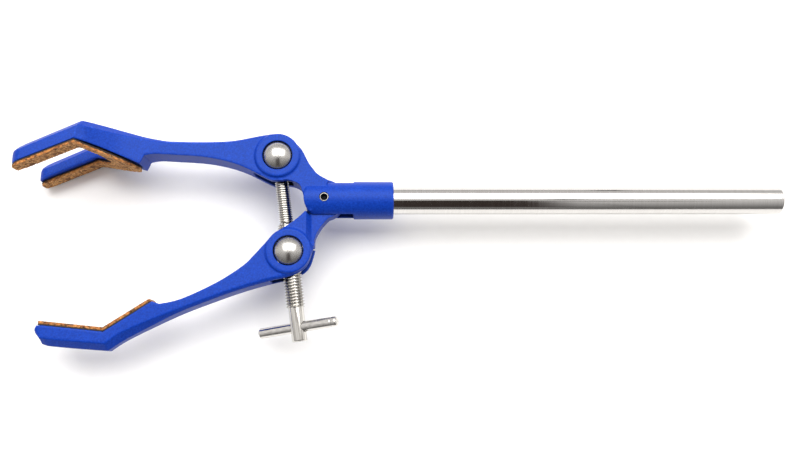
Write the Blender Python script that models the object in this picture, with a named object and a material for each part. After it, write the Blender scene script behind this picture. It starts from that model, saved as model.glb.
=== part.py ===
"""Three finger clamp: a forked fixed jaw with a rod socket, and a single-prong moving jaw on a hinge.

A double-threaded screw with a tommy bar runs between two barrel nuts that swivel in the jaws, and
draws them together. The rod lies along X with its free end at +X, the jaws swing in the XY plane,
and the hinge and nut axes are along Z. The origin is on the rod's axis, 50 mm from its free end.
Shapes are drawn in millimetres from the hinge axis and scaled to metres as each mesh is made.
"""

import math
from collections import namedtuple

import bmesh
import bpy
from mathutils import Matrix, Vector

MM = 0.001
GAP = 0.3

# Rod and socket
HINGE_X = -150.0
ROD_END = 200.0
ROD_RADIUS = 6.0
ROD_CHAMFER = 0.7
SOCKET_RADIUS = 8.15
SOCKET_END = 29.6
SOCKET_CHAMFER = 0.6
HUB_RADIUS = 8.7
HUB_HALF_HEIGHT = 12.0
HUB_BAR_END = 32.0
CLEVIS_END = 12.3
CLEVIS_HALF_GAP = 4.0
TONGUE_HALF_WIDTH = CLEVIS_HALF_GAP - GAP
KNUCKLE_RADIUS = 8.5
KNUCKLE_CLEARANCE = 0.5
HUB_CLEARANCE = 1.0
LINK_ROOM_HALF = 9.0
CLEVIS_SLOT = [(-12, -14), (CLEVIS_END, -14), (CLEVIS_END, 14), (0.5, 14), (0.5, 0), (-12, 0)]
RAMP_HIGH_X = -5.4
RAMP_LOW_X = -7.6
RAMP_LOW_HALF = 6.6
RAMP_PAST_X = 20.0
RAMP_TOP_Y = 4.0
RAMP_BOTTOM_Y = -21.0

# Barrel nuts and the screw between them
NUT_REACH = 27.3
UPPER_NUT_ANGLE = math.radians(137.6)
LOWER_NUT_ANGLE = math.radians(-122.8)
NUT_RADIUS = 6.1
NUT_RIM = 6.9
DOME_HEIGHT = 3.0
DOME_STEPS = 6
NUT_HOLE_REACH = 10.0
RING_RADIUS = 9.6
RING_TOP = 7.5
FINE_THREAD_RADIUS = 3.0
COARSE_THREAD_RADIUS = 4.0
TIP_CHAMFER = 0.7
LEAD_IN = 0.8
COARSE_CHAMFER = 0.6
HEAD_CHAMFER = 0.5
SCREW_TIP = -5.0
SHOULDER = 28.9
THREAD_PAST_NUT = 24.0
HEAD_PAST_NUT = 37.8
HEAD_RADIUS = 3.2
BAR_PAST_NUT = 31.9
BAR_RADIUS = 2.2
BAR_LENGTH = 36.0
BAR_TURN = math.radians(20.0)
BAR_HOLE_REACH = 10.0
BAR_END_FACE = 0.8
BAR_END_ROUND = 0.25
BAR_END_STEP = 0.3
BAR_END_LENGTH = 0.9
FIXED_SLOT_HALF = 3.6
MOVING_SLOT_HALF = 4.5

# Hinge screw
HINGE_SCREW_RADIUS = 1.95
HINGE_SCREW_HALF = 7.5
HEX_ACROSS = 2.0
HEX_DEPTH = 1.6
HINGE_SCREW_TIP_CHAMFER = 0.3
HINGE_SCREW_TOP_CHAMFER = 0.2
THROUGH = 12.0

# Pads and fork
PAD_THICKNESS = 1.6
FORK_INNER = 9.5
FORK_OUTER = 19.5
FORK_ROOT_X = -94.0
PRONG_TIP_X = -127.8
MOVING_HALF_WIDTH = 5.6
PAD_INSET = 0.3
PAD_FORK_INNER = 11.9
PAD_FORK_ROOT_X = -92.7
PAD_TIP_SETBACK = 0.3
MOVING_PAD_TIP_X = -117.3
MOVING_PAD_REAR_X = -70.6
MOVING_PAD_CORNER = 2.5
FORK_PLAN_START_X = 6.0
FORK_PLAN_HALF = 21.0
FORK_TIP_RELIEF = 0.05
PAD_BAND_REACH = 22.0
PLAN_REACH = 80.0
ARC_STEPS = 12

UPPER_NUT = Vector((math.cos(UPPER_NUT_ANGLE), math.sin(UPPER_NUT_ANGLE))) * NUT_REACH
LOWER_NUT = Vector((math.cos(LOWER_NUT_ANGLE), math.sin(LOWER_NUT_ANGLE))) * NUT_REACH
NUT_SPACING = (LOWER_NUT - UPPER_NUT).length
SCREW_ANGLE = math.atan2(*(LOWER_NUT - UPPER_NUT).yx)

# A station is one cross-section of a jaw: a point on its back, the point across from it on the
# gripping side, half the width there, and the chamfer along the back.
Station = namedtuple("Station", "back grip half_width chamfer")

FIXED_ARM = [
    Station((2.0, 7.6), (-5.9, -6.2), 6.5, 0.5),
    Station((-2.7, 10.3), (-8.4, -0.8), 6.5, 0.6),
    Station((-5.0, 12.9), (-9.4, 2.8), 6.5, 0.7),
    Station((-7.0, 15.8), (-10.9, 5.9), 6.5, 0.8),
    Station((-11.2, 23.0), (-15.4, 7.6), 6.5, 0.8),
    Station((-19.6, 28.0), (-20.9, 7.3), 6.5, 0.9),
    Station((-26.2, 27.8), (-24.5, 8.3), 6.5, 1.0),
    Station((-38.7, 25.4), (-36.5, 14.2), 6.4, 1.1),
    Station((-50.0, 24.8), (-50.0, 17.6), 6.3, 1.1),
    Station((-65.8, 25.0), (-65.8, 18.8), 6.3, 1.2),
    Station((-72.0, 25.9), (-72.6, 19.1), 6.3, 1.4),
    Station((-76.8, 26.9), (-76.9, 18.4), 6.4, 1.7),
]
FIXED_PALM = [
    Station((-78.5, 27.3), (-78.5, 14.8), 6.7, 1.9),
    Station((-86.0, 28.9), (-86.0, 17.5), 9.6, 2.5),
    Station((-93.0, 30.0), (-93.0, 19.8), 14.0, 3.0),
    Station((-98.0, 30.4), (-98.5, 21.2), 17.9, 3.0),
    Station((-100.2, 30.5), (-102.3, 22.0), FORK_OUTER, 3.0),
]
FIXED_PRONGS = [
    Station((-121.8, 20.6), (-124.4, 12.5), FORK_OUTER, 3.0),
    Station((-125.2, 18.2), (-126.5, 11.6), FORK_OUTER, 2.2),
    Station((-127.4, 15.4), (-127.6, 12.2), FORK_OUTER, 0.6),
]
MOVING_ARM = [
    Station((2.6, -7.4), (-6.8, -4.4), 6.5, 0.5),
    Station((-1.6, -12.3), (-9.9, -7.6), 6.5, 0.5),
    Station((-4.0, -17.2), (-13.6, -10.7), 6.5, 0.6),
    Station((-4.4, -22.0), (-17.9, -13.5), 6.5, 0.8),
    Station((-7.2, -29.6), (-21.2, -15.9), 6.5, 0.9),
    Station((-13.5, -33.4), (-25.4, -20.5), 6.5, 1.0),
    Station((-22.2, -35.6), (-29.2, -24.7), 6.4, 1.1),
    Station((-30.9, -38.0), (-33.7, -29.2), 6.3, 1.1),
    Station((-41.5, -41.5), (-44.2, -36.1), 6.3, 1.1),
    Station((-56.5, -47.2), (-58.4, -42.8), 6.2, 1.3),
    Station((-64.0, -50.5), (-67.6, -44.9), 6.0, 1.6),
]
MOVING_PALM = [
    Station((-66.6, -51.8), (-70.5, -43.8), 5.9, 2.0),
    Station((-80.8, -59.1), (-84.2, -52.6), MOVING_HALF_WIDTH, 3.0),
    Station((-88.2, -63.9), (-89.8, -56.2), MOVING_HALF_WIDTH, 3.0),
]
MOVING_PRONG = [
    Station((-112.6, -61.8), (-114.4, -53.5), MOVING_HALF_WIDTH, 3.0),
    Station((-115.1, -60.0), (-117.1, -53.8), 5.4, 2.6),
    Station((-117.1, -57.4), (-118.0, -55.3), 4.6, 0.8),
]
# The slots that let the screw swing about each nut, from the nut's axis outwards
FIXED_SLOT = [(-5.8, 14), (5.7, 14), (6.3, 0), (6.3, -18), (-11.6, -18), (-11.6, -8), (-5.8, 0)]
MOVING_SLOT = [(-12, 18), (5, 18), (5, 2.2), (20, 2.2), (20, -18), (-7.6, -18), (-7.6, 2)]
FIXED_PAD_LINE = [(-127.4, 11.25), (-102.3, 22.0), (-79.2, 14.9)]
MOVING_PAD_LINE = [(-117.6, -53.2), (-89.8, -56.2), (-70.9, -44.1)]
FIXED_PAD_REAR = [(-79.2, 0.0), (-79.7, 2.2), (-81.4, 4.6), (-84.5, 7.3), (-88.5, 10.2)]
FIXED_PAD_SHOULDER = [(-93.0, 13.2), (-98.5, 16.7), (-102.0, FORK_OUTER - PAD_INSET)]


def material(name, colour, roughness, metallic=0.0):
    made = bpy.data.materials.new(name)
    made.use_nodes = True
    shader = made.node_tree.nodes["Principled BSDF"]
    shader.inputs["Base Color"].default_value = (*colour, 1.0)
    shader.inputs["Roughness"].default_value = roughness
    shader.inputs["Metallic"].default_value = metallic
    made.diffuse_color = (*colour, 1.0)
    return made


def add_object(name, shape, finish=None, parent=None, place=(0.0, 0.0, 0.0), turn=0.0):
    """Make an object of a bmesh drawn in millimetres, placed in millimetres under its parent."""
    bmesh.ops.scale(shape, vec=(MM, MM, MM), verts=shape.verts)
    bmesh.ops.recalc_face_normals(shape, faces=shape.faces)
    mesh = bpy.data.meshes.new(name)
    shape.to_mesh(mesh)
    shape.free()
    mesh.shade_smooth()
    mesh.set_sharp_from_angle(angle=math.radians(35))
    made = bpy.data.objects.new(name, mesh)
    bpy.context.scene.collection.objects.link(made)
    made.parent = parent
    made.location = Vector(place) * MM
    made.rotation_euler = (0.0, 0.0, turn)
    if finish:
        mesh.materials.append(finish)
    return made


def add_axis(name, place, parent=None):
    empty = bpy.data.objects.new(name, None)
    bpy.context.scene.collection.objects.link(empty)
    empty.empty_display_size = 0.01
    empty.location = Vector((*place, 0.0)) * MM
    empty.parent = parent
    return empty


def combine(target, tool, operation):
    """Cut, join or intersect with a helper shape, which stays out of the finished model."""
    tool.hide_render = True
    tool.display_type = "WIRE"
    step = target.modifiers.new(tool.name, "BOOLEAN")
    step.operation = operation
    step.object = tool


def cylinder(radius, start, end, axis="Z", sides=48, centre=(0.0, 0.0)):
    """A round bar between two places on its axis; centre is in the XY plane for a Z bar."""
    shape = bmesh.new()
    bmesh.ops.create_cone(
        shape, cap_ends=True, segments=sides, radius1=radius, radius2=radius, depth=end - start
    )
    bmesh.ops.translate(shape, vec=(0.0, 0.0, (start + end) / 2), verts=shape.verts)
    if axis == "X":
        turn = Matrix.Rotation(math.radians(90), 3, "Y")
        bmesh.ops.rotate(shape, cent=(0, 0, 0), matrix=turn, verts=shape.verts)
    bmesh.ops.translate(shape, vec=(*centre, 0.0), verts=shape.verts)
    return shape


def turned(profile, axis="Z", sides=48):
    """Spin a profile of (radius, place along the axis) points into a solid of revolution."""
    shape = bmesh.new()
    rings = []
    for radius, along in profile:
        if radius == 0.0:
            rings.append([shape.verts.new((0.0, 0.0, along))])
            continue
        angles = [math.tau * step / sides for step in range(sides)]
        rings.append(
            [shape.verts.new((radius * math.cos(a), radius * math.sin(a), along)) for a in angles]
        )
    for low, high in zip(rings, rings[1:]):
        for step in range(sides):
            after = (step + 1) % sides
            corners = [low[step % len(low)], low[after % len(low)]]
            corners += [high[after % len(high)], high[step % len(high)]]
            shape.faces.new(list(dict.fromkeys(corners)))
    for ring in (rings[0], rings[-1]):
        if len(ring) > 1:
            shape.faces.new(ring)
    if axis == "X":
        turn = Matrix.Rotation(math.radians(90), 3, "Y")
        bmesh.ops.rotate(shape, cent=(0, 0, 0), matrix=turn, verts=shape.verts)
    return shape


def prism(outline, half_depth, plane="XY", low=None):
    """Extrude a closed outline: XY outlines along Z, XZ outlines along Y."""
    bottom = -half_depth if low is None else low
    shape = bmesh.new()
    for depth in (bottom, half_depth):
        for a, b in outline:
            shape.verts.new((a, b, depth) if plane == "XY" else (a, depth, b))
    shape.verts.ensure_lookup_table()
    count = len(outline)
    shape.faces.new(shape.verts[:count])
    shape.faces.new(shape.verts[count:])
    for step in range(count):
        after = (step + 1) % count
        corners = (step, after, count + after, count + step)
        shape.faces.new([shape.verts[corner] for corner in corners])
    return shape


def arc(centre, radius, start, end, steps):
    """Points on a circular arc, with angles in degrees."""
    angles = [math.radians(start + (end - start) * step / steps) for step in range(steps + 1)]
    return [(centre[0] + radius * math.cos(a), centre[1] + radius * math.sin(a)) for a in angles]


def flat_values(station):
    return [*station.back, *station.grip, station.half_width, station.chamfer]


def eased(run, steps):
    """Fill in a run of stations with smooth curves through them."""
    rows = [flat_values(station) for station in run]
    filled = []
    for index in range(len(rows) - 1):
        before = rows[max(index - 1, 0)]
        after = rows[min(index + 2, len(rows) - 1)]
        for step in range(steps):
            t = step / steps
            row = []
            for a, b, c, d in zip(before, rows[index], rows[index + 1], after):
                curve = 2 * b + (c - a) * t + (2 * a - 5 * b + 4 * c - d) * t**2
                row.append((curve + (3 * b - 3 * c + d - a) * t**3) / 2)
            filled.append(row)
    return filled + [rows[-1]]


def jaw_loft(rows):
    """Skin a jaw over its stations: a bar with a flat gripping side and a chamfered back."""
    shape = bmesh.new()
    rings = []
    for back_x, back_y, grip_x, grip_y, half, chamfer in rows:
        back = Vector((back_x, back_y))
        grip = Vector((grip_x, grip_y))
        side = back + (grip - back).normalized() * chamfer
        section = [(grip, half), (side, half), (back, half - chamfer)]
        section += [(point, -depth) for point, depth in reversed(section)]
        rings.append([shape.verts.new((*point, depth)) for point, depth in section])
    for ring, following in zip(rings, rings[1:]):
        for step in range(len(ring)):
            after = (step + 1) % len(ring)
            shape.faces.new((ring[step], ring[after], following[after], following[step]))
    shape.faces.new(rings[0])
    shape.faces.new(rings[-1])
    bmesh.ops.triangulate(shape, faces=shape.faces)
    return shape


def pad_band(line, grip_side):
    """The side outline of a pad that lies a small gap off the jaw's gripping line."""
    points = [Vector(point) for point in line]
    near, far = [], []
    for index, point in enumerate(points):
        along = [b - a for a, b in zip(points, points[1:])]
        touching = along[max(index - 1, 0) : index + 1]
        normal = sum((Vector((-d.y, d.x)).normalized() for d in touching), Vector((0.0, 0.0)))
        normal.normalize()
        stretch = 1.0 / normal.dot(Vector((-touching[0].y, touching[0].x)).normalized())
        near.append(point + normal * grip_side * GAP * stretch)
        far.append(point + normal * grip_side * (GAP + PAD_THICKNESS) * stretch)
    return [tuple(point) for point in near + far[::-1]]


def beside(centre, outline):
    """An outline drawn from a nut's axis, moved to that axis."""
    return [(centre.x + x, centre.y + y) for x, y in outline]


def fork_plan():
    """The plan outline that opens the fork between the prongs and rounds their tips."""
    tip_radius = (FORK_OUTER - FORK_INNER) / 2
    middle = FORK_INNER + tip_radius
    tip_centre = PRONG_TIP_X + tip_radius
    root_centre = FORK_ROOT_X - FORK_INNER
    upper = [(FORK_PLAN_START_X, FORK_PLAN_HALF), (tip_centre, FORK_PLAN_HALF)]
    upper += arc((tip_centre, middle), tip_radius + FORK_TIP_RELIEF, 90, 270, ARC_STEPS)
    root = arc((root_centre, 0.0), FORK_INNER, 90, -90, ARC_STEPS)
    lower = [(x, -z) for x, z in reversed(upper)]
    return upper + root + lower


def fixed_pad_plan():
    """The plan outline of the Y-shaped pad: two round-ended prongs and a tapering, rounded palm."""
    outer = FORK_OUTER - PAD_INSET
    tip_radius = (outer - PAD_FORK_INNER) / 2
    tip_centre = PRONG_TIP_X + PAD_TIP_SETBACK + tip_radius
    root_centre = PAD_FORK_ROOT_X - PAD_FORK_INNER
    half = FIXED_PAD_REAR + FIXED_PAD_SHOULDER
    half += arc((tip_centre, PAD_FORK_INNER + tip_radius), tip_radius, 90, 270, ARC_STEPS)
    half += arc((root_centre, 0.0), PAD_FORK_INNER, 90, 0, ARC_STEPS // 2)
    return half + [(x, -z) for x, z in reversed(half[1:-1])]


def moving_pad_plan():
    """The plan outline of the single prong's pad: a strip with rounded corners."""
    corner = MOVING_PAD_CORNER
    middle = MOVING_HALF_WIDTH - PAD_INSET - corner
    tip = arc((MOVING_PAD_TIP_X + corner, middle), corner, 180, 90, ARC_STEPS // 3)
    rear = arc((MOVING_PAD_REAR_X - corner, middle), corner, 90, 0, ARC_STEPS // 3)
    half = tip + rear
    return half + [(x, -z) for x, z in reversed(half)]


def build_fixed_jaw(hinge, paint):
    rows = eased(FIXED_ARM, 2) + eased(FIXED_PALM, 2)[:-1]
    rows += eased([FIXED_PALM[-1]] + FIXED_PRONGS, 1)
    jaw = add_object("fixed_jaw", jaw_loft(rows), paint, hinge)
    combine(jaw, add_object("fork_plan", prism(fork_plan(), PLAN_REACH, "XZ"), None, hinge), "INTERSECT")
    ring = cylinder(RING_RADIUS, -RING_TOP, RING_TOP, centre=UPPER_NUT)
    combine(jaw, add_object("upper_ring", ring, None, hinge), "UNION")
    hub = add_object("hub_round", cylinder(HUB_RADIUS, -THROUGH, THROUGH), None, hinge)
    side = HUB_HALF_HEIGHT
    bar = prism([(0, -side), (HUB_BAR_END, -side), (HUB_BAR_END, side), (0, side)], side)
    combine(hub, add_object("hub_bar", bar, None, hinge), "UNION")
    profile = [(SOCKET_RADIUS, -HUB_HALF_HEIGHT), (SOCKET_RADIUS, SOCKET_END - SOCKET_CHAMFER)]
    profile.append((SOCKET_RADIUS - SOCKET_CHAMFER, SOCKET_END))
    socket = add_object("socket", turned(profile, "X"), None, hinge)
    combine(socket, hub, "INTERSECT")
    combine(jaw, socket, "UNION")
    rod_bore = cylinder(ROD_RADIUS + GAP, CLEVIS_END - 1.0, HUB_BAR_END, "X")
    combine(jaw, add_object("rod_bore", rod_bore, None, hinge), "DIFFERENCE")
    knuckle_room = cylinder(KNUCKLE_RADIUS + KNUCKLE_CLEARANCE, -CLEVIS_HALF_GAP, CLEVIS_HALF_GAP)
    combine(jaw, add_object("knuckle_room", knuckle_room, None, hinge), "DIFFERENCE")
    clevis = prism(CLEVIS_SLOT, CLEVIS_HALF_GAP)
    combine(jaw, add_object("clevis_slot", clevis, None, hinge), "DIFFERENCE")
    hole = cylinder(HINGE_SCREW_RADIUS + GAP, -THROUGH, THROUGH, sides=24)
    combine(jaw, add_object("hinge_hole", hole, None, hinge), "DIFFERENCE")
    bore = cylinder(NUT_RADIUS + GAP, -THROUGH, THROUGH, centre=UPPER_NUT)
    combine(jaw, add_object("upper_nut_bore", bore, None, hinge), "DIFFERENCE")
    slot = prism(beside(UPPER_NUT, FIXED_SLOT), FIXED_SLOT_HALF)
    combine(jaw, add_object("upper_slot", slot, None, hinge), "DIFFERENCE")
    return jaw


def build_moving_jaw(hinge, paint):
    rows = eased(MOVING_ARM, 2) + eased(MOVING_PALM, 2)[:-1]
    rows += eased([MOVING_PALM[-1]] + MOVING_PRONG, 1)
    jaw = add_object("moving_jaw", jaw_loft(rows), paint, hinge)
    for side in (1, -1):
        outside = side * LINK_ROOM_HALF
        room = cylinder(HUB_RADIUS + HUB_CLEARANCE, outside, side * TONGUE_HALF_WIDTH)
        combine(jaw, add_object(f"hub_room_{side}", room, None, hinge), "DIFFERENCE")
        ramp = [(RAMP_PAST_X, TONGUE_HALF_WIDTH), (RAMP_HIGH_X, TONGUE_HALF_WIDTH)]
        ramp += [(RAMP_LOW_X, RAMP_LOW_HALF), (RAMP_LOW_X, LINK_ROOM_HALF)]
        ramp.append((RAMP_PAST_X, LINK_ROOM_HALF))
        cut = prism([(x, side * z) for x, z in ramp], RAMP_TOP_Y, "XZ", low=RAMP_BOTTOM_Y)
        combine(jaw, add_object(f"link_ramp_{side}", cut, None, hinge), "DIFFERENCE")
    ring = cylinder(RING_RADIUS, -RING_TOP, RING_TOP, centre=LOWER_NUT)
    combine(jaw, add_object("lower_ring", ring, None, hinge), "UNION")
    knuckle = cylinder(KNUCKLE_RADIUS, -TONGUE_HALF_WIDTH, TONGUE_HALF_WIDTH)
    combine(jaw, add_object("knuckle", knuckle, None, hinge), "UNION")
    hole = cylinder(HINGE_SCREW_RADIUS + GAP, -THROUGH, THROUGH, sides=24)
    combine(jaw, add_object("tongue_hole", hole, None, hinge), "DIFFERENCE")
    bore = cylinder(NUT_RADIUS + GAP, -THROUGH, THROUGH, centre=LOWER_NUT)
    combine(jaw, add_object("lower_nut_bore", bore, None, hinge), "DIFFERENCE")
    slot = prism(beside(LOWER_NUT, MOVING_SLOT), MOVING_SLOT_HALF)
    combine(jaw, add_object("lower_slot", slot, None, hinge), "DIFFERENCE")
    return jaw


def build_pads(hinge, cork):
    for name, line, side, plan in (
        ("fixed_jaw_cork", FIXED_PAD_LINE, -1, fixed_pad_plan()),
        ("moving_jaw_cork", MOVING_PAD_LINE, 1, moving_pad_plan()),
    ):
        pad = add_object(name, prism(pad_band(line, side), PAD_BAND_REACH), cork, hinge)
        outline = add_object(name + "_plan", prism(plan, PLAN_REACH, "XZ"), None, hinge)
        combine(pad, outline, "INTERSECT")


def build_nut(name, axis, hole_radius, steel):
    """A barrel nut: a cross pin with a domed end each side and the screw's hole through it."""
    sphere = (NUT_RADIUS**2 + DOME_HEIGHT**2) / (2 * DOME_HEIGHT)
    edge = math.asin(NUT_RADIUS / sphere)
    dome = []
    for step in range(DOME_STEPS + 1):
        angle = edge * step / DOME_STEPS
        height = NUT_RIM + DOME_HEIGHT - sphere * (1 - math.cos(angle))
        dome.append((sphere * math.sin(angle), height))
    profile = [(radius, -height) for radius, height in dome] + dome[::-1]
    nut = add_object(name, turned(profile), steel, axis, turn=SCREW_ANGLE)
    hole = cylinder(hole_radius, -NUT_HOLE_REACH, NUT_HOLE_REACH, "X", 32)
    combine(nut, add_object(name + "_hole", hole, None, nut), "DIFFERENCE")


def build_screw(axis, steel):
    """The screw lies along its own X axis, from its tip past the upper nut to its plain head."""
    thread_end = NUT_SPACING + THREAD_PAST_NUT
    head_end = NUT_SPACING + HEAD_PAST_NUT
    profile = [
        (FINE_THREAD_RADIUS - TIP_CHAMFER, SCREW_TIP),
        (FINE_THREAD_RADIUS, SCREW_TIP + LEAD_IN),
        (FINE_THREAD_RADIUS, SHOULDER),
        (COARSE_THREAD_RADIUS - COARSE_CHAMFER, SHOULDER),
        (COARSE_THREAD_RADIUS, SHOULDER + LEAD_IN),
        (COARSE_THREAD_RADIUS, thread_end - COARSE_CHAMFER),
        (HEAD_RADIUS, thread_end),
        (HEAD_RADIUS, head_end - HEAD_CHAMFER),
        (HEAD_RADIUS - HEAD_CHAMFER, head_end),
    ]
    screw = add_object("clamp_screw", turned(profile, "X", 32), steel, axis, turn=SCREW_ANGLE)
    bar_place = (NUT_SPACING + BAR_PAST_NUT, 0.0, 0.0)
    turn = Matrix.Rotation(math.radians(90), 3, "X")
    hole = cylinder(BAR_RADIUS + GAP, -BAR_HOLE_REACH, BAR_HOLE_REACH, sides=24)
    bmesh.ops.rotate(hole, cent=(0, 0, 0), matrix=turn, verts=hole.verts)
    hole = add_object("bar_hole", hole, None, screw, bar_place)
    half = BAR_LENGTH / 2
    ends = [
        (BAR_RADIUS - BAR_END_FACE, half),
        (BAR_RADIUS - BAR_END_ROUND, half - BAR_END_STEP),
        (BAR_RADIUS, half - BAR_END_LENGTH),
    ]
    outline = [(radius, -along) for radius, along in ends] + ends[::-1]
    shape = turned(outline, sides=24)
    bmesh.ops.rotate(shape, cent=(0, 0, 0), matrix=turn, verts=shape.verts)
    bar = add_object("tommy_bar", shape, steel, screw, bar_place)
    for piece in (hole, bar):
        piece.rotation_euler = (BAR_TURN, 0.0, 0.0)
    combine(screw, hole, "DIFFERENCE")


def build_hinge_screw(hinge, black):
    profile = [
        (HINGE_SCREW_RADIUS - HINGE_SCREW_TIP_CHAMFER, -HINGE_SCREW_HALF),
        (HINGE_SCREW_RADIUS, -HINGE_SCREW_HALF + HINGE_SCREW_TIP_CHAMFER),
        (HINGE_SCREW_RADIUS, HINGE_SCREW_HALF - HINGE_SCREW_TOP_CHAMFER),
        (HINGE_SCREW_RADIUS - HINGE_SCREW_TOP_CHAMFER, HINGE_SCREW_HALF),
    ]
    screw = add_object("hinge_screw", turned(profile, sides=24), black, hinge)
    corner = HEX_ACROSS / math.sqrt(3)
    socket = cylinder(corner, HINGE_SCREW_HALF - HEX_DEPTH, HINGE_SCREW_HALF + 2.0, sides=6)
    combine(screw, add_object("hex_socket", socket, None, hinge), "DIFFERENCE")


def build_rod(hinge, steel):
    start = CLEVIS_END + 0.5
    inner = ROD_RADIUS - ROD_CHAMFER
    profile = [(inner, start), (ROD_RADIUS, start + ROD_CHAMFER)]
    profile += [(ROD_RADIUS, ROD_END - ROD_CHAMFER), (inner, ROD_END)]
    add_object("rod", turned(profile, "X"), steel, hinge)


def main():
    for old in list(bpy.data.objects):
        bpy.data.objects.remove(old, do_unlink=True)
    paint = material("blue_paint", (0.05, 0.12, 0.75), 0.45)
    steel = material("polished_steel", (0.72, 0.70, 0.67), 0.2, 1.0)
    cork = material("cork", (0.45, 0.25, 0.11), 0.9)
    black = material("black_oxide", (0.02, 0.02, 0.02), 0.5, 1.0)
    hinge = add_axis("hinge_axis", (HINGE_X, 0.0))
    upper = add_axis("upper_nut_axis", UPPER_NUT, hinge)
    lower = add_axis("lower_nut_axis", LOWER_NUT, hinge)
    build_fixed_jaw(hinge, paint)
    build_moving_jaw(hinge, paint)
    build_pads(hinge, cork)
    build_nut("upper_nut", upper, FINE_THREAD_RADIUS + GAP, steel)
    build_nut("lower_nut", lower, COARSE_THREAD_RADIUS + GAP, steel)
    build_screw(upper, steel)
    build_hinge_screw(hinge, black)
    build_rod(hinge, steel)


main()
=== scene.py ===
"""Three finger clamp: detailed pieces, finishes, light and camera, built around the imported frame.

Shapes are drawn in millimetres from the hinge axis, as in the CAD part, and moved to the row frame
in metres as each mesh is made.
"""

import math
from collections import namedtuple

import bmesh
import bpy
from mathutils import Matrix, Vector, noise


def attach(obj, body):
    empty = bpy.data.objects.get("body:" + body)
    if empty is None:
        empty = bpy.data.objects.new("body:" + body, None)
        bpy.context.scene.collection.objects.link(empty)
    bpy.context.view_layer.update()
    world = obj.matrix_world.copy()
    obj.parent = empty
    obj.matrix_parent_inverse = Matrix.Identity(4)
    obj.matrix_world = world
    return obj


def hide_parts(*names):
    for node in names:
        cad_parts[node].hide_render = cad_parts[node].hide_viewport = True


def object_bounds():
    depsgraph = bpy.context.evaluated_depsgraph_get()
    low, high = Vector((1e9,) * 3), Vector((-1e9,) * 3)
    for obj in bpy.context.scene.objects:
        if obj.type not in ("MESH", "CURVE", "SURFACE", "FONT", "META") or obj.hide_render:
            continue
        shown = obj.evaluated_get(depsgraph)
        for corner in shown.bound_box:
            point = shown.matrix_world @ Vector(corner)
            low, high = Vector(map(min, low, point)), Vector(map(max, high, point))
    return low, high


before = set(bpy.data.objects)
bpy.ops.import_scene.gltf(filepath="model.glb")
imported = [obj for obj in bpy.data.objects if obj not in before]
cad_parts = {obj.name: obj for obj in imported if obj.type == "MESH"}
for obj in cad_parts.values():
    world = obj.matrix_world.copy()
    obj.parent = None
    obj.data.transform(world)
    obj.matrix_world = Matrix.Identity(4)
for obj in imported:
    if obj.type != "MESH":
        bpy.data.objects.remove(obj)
cad_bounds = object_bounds()

MM = 0.001
HINGE_X = -150.0
TO_FRAME = Matrix.Scale(MM, 4) @ Matrix.Translation((HINGE_X, 0.0, 0.0))

# Sizes shared with the CAD part
ROD_START = 12.8
ROD_END = 200.0
ROD_RADIUS = 6.0
SOCKET_RADIUS = 8.15
SOCKET_END = 29.6
HUB_RADIUS = 8.7
CLEVIS_END = 12.3
CLEVIS_HALF_GAP = 4.0
TONGUE_HALF_WIDTH = 3.7
KNUCKLE_RADIUS = 8.5
KNUCKLE_CLEARANCE = 0.5
HUB_CLEARANCE = 1.0
LINK_ROOM_HALF = 9.0
CLEVIS_SLOT = [(-12, -14), (CLEVIS_END, -14), (CLEVIS_END, 14), (0.5, 14), (0.5, 0), (-12, 0)]
RAMP_HIGH_X = -5.4
RAMP_LOW_X = -7.6
RAMP_LOW_HALF = 6.6
RAMP_PAST_X = 20.0
RAMP_TOP_Y = 4.0
RAMP_BOTTOM_Y = -21.0
BORE_GAP = 0.3
NUT_REACH = 27.3
UPPER_NUT_ANGLE = math.radians(137.6)
LOWER_NUT_ANGLE = math.radians(-122.8)
NUT_RADIUS = 6.1
NUT_RIM = 6.9
DOME_HEIGHT = 3.0
RING_RADIUS = 9.6
RING_TOP = 7.5
FINE_THREAD_RADIUS = 3.0
FINE_PITCH = 1.0
COARSE_THREAD_RADIUS = 4.0
COARSE_PITCH = 1.25
SCREW_TIP = -5.0
SHOULDER = 28.9
THREAD_PAST_NUT = 24.0
HEAD_PAST_NUT = 37.8
HEAD_RADIUS = 3.2
BAR_PAST_NUT = 31.9
BAR_RADIUS = 2.2
BAR_LENGTH = 36.0
BAR_TURN = math.radians(20.0)
FIXED_SLOT_HALF = 3.6
MOVING_SLOT_HALF = 4.5
HINGE_SCREW_RADIUS = 1.95
HINGE_SCREW_HALF = 7.5
HEX_ACROSS = 2.0
HEX_DEPTH = 1.6
FORK_INNER = 9.5
FORK_OUTER = 19.5
FORK_ROOT_X = -94.0
PRONG_TIP_X = -127.8
MOVING_HALF_WIDTH = 5.6
PAD_INSET = 0.3
PAD_FORK_INNER = 11.9
PAD_FORK_ROOT_X = -92.7
PAD_TIP_SETBACK = 0.3
MOVING_PAD_TIP_X = -117.3
MOVING_PAD_REAR_X = -70.6
MOVING_PAD_CORNER = 2.5
PAD_FAR = 1.85
GLUE_NEAR = 0.03
GLUE_FAR = 0.55

UPPER_NUT = Vector((math.cos(UPPER_NUT_ANGLE), math.sin(UPPER_NUT_ANGLE))) * NUT_REACH
LOWER_NUT = Vector((math.cos(LOWER_NUT_ANGLE), math.sin(LOWER_NUT_ANGLE))) * NUT_REACH
NUT_SPACING = (LOWER_NUT - UPPER_NUT).length
SCREW_ANGLE = math.atan2(*(LOWER_NUT - UPPER_NUT).yx)

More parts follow.
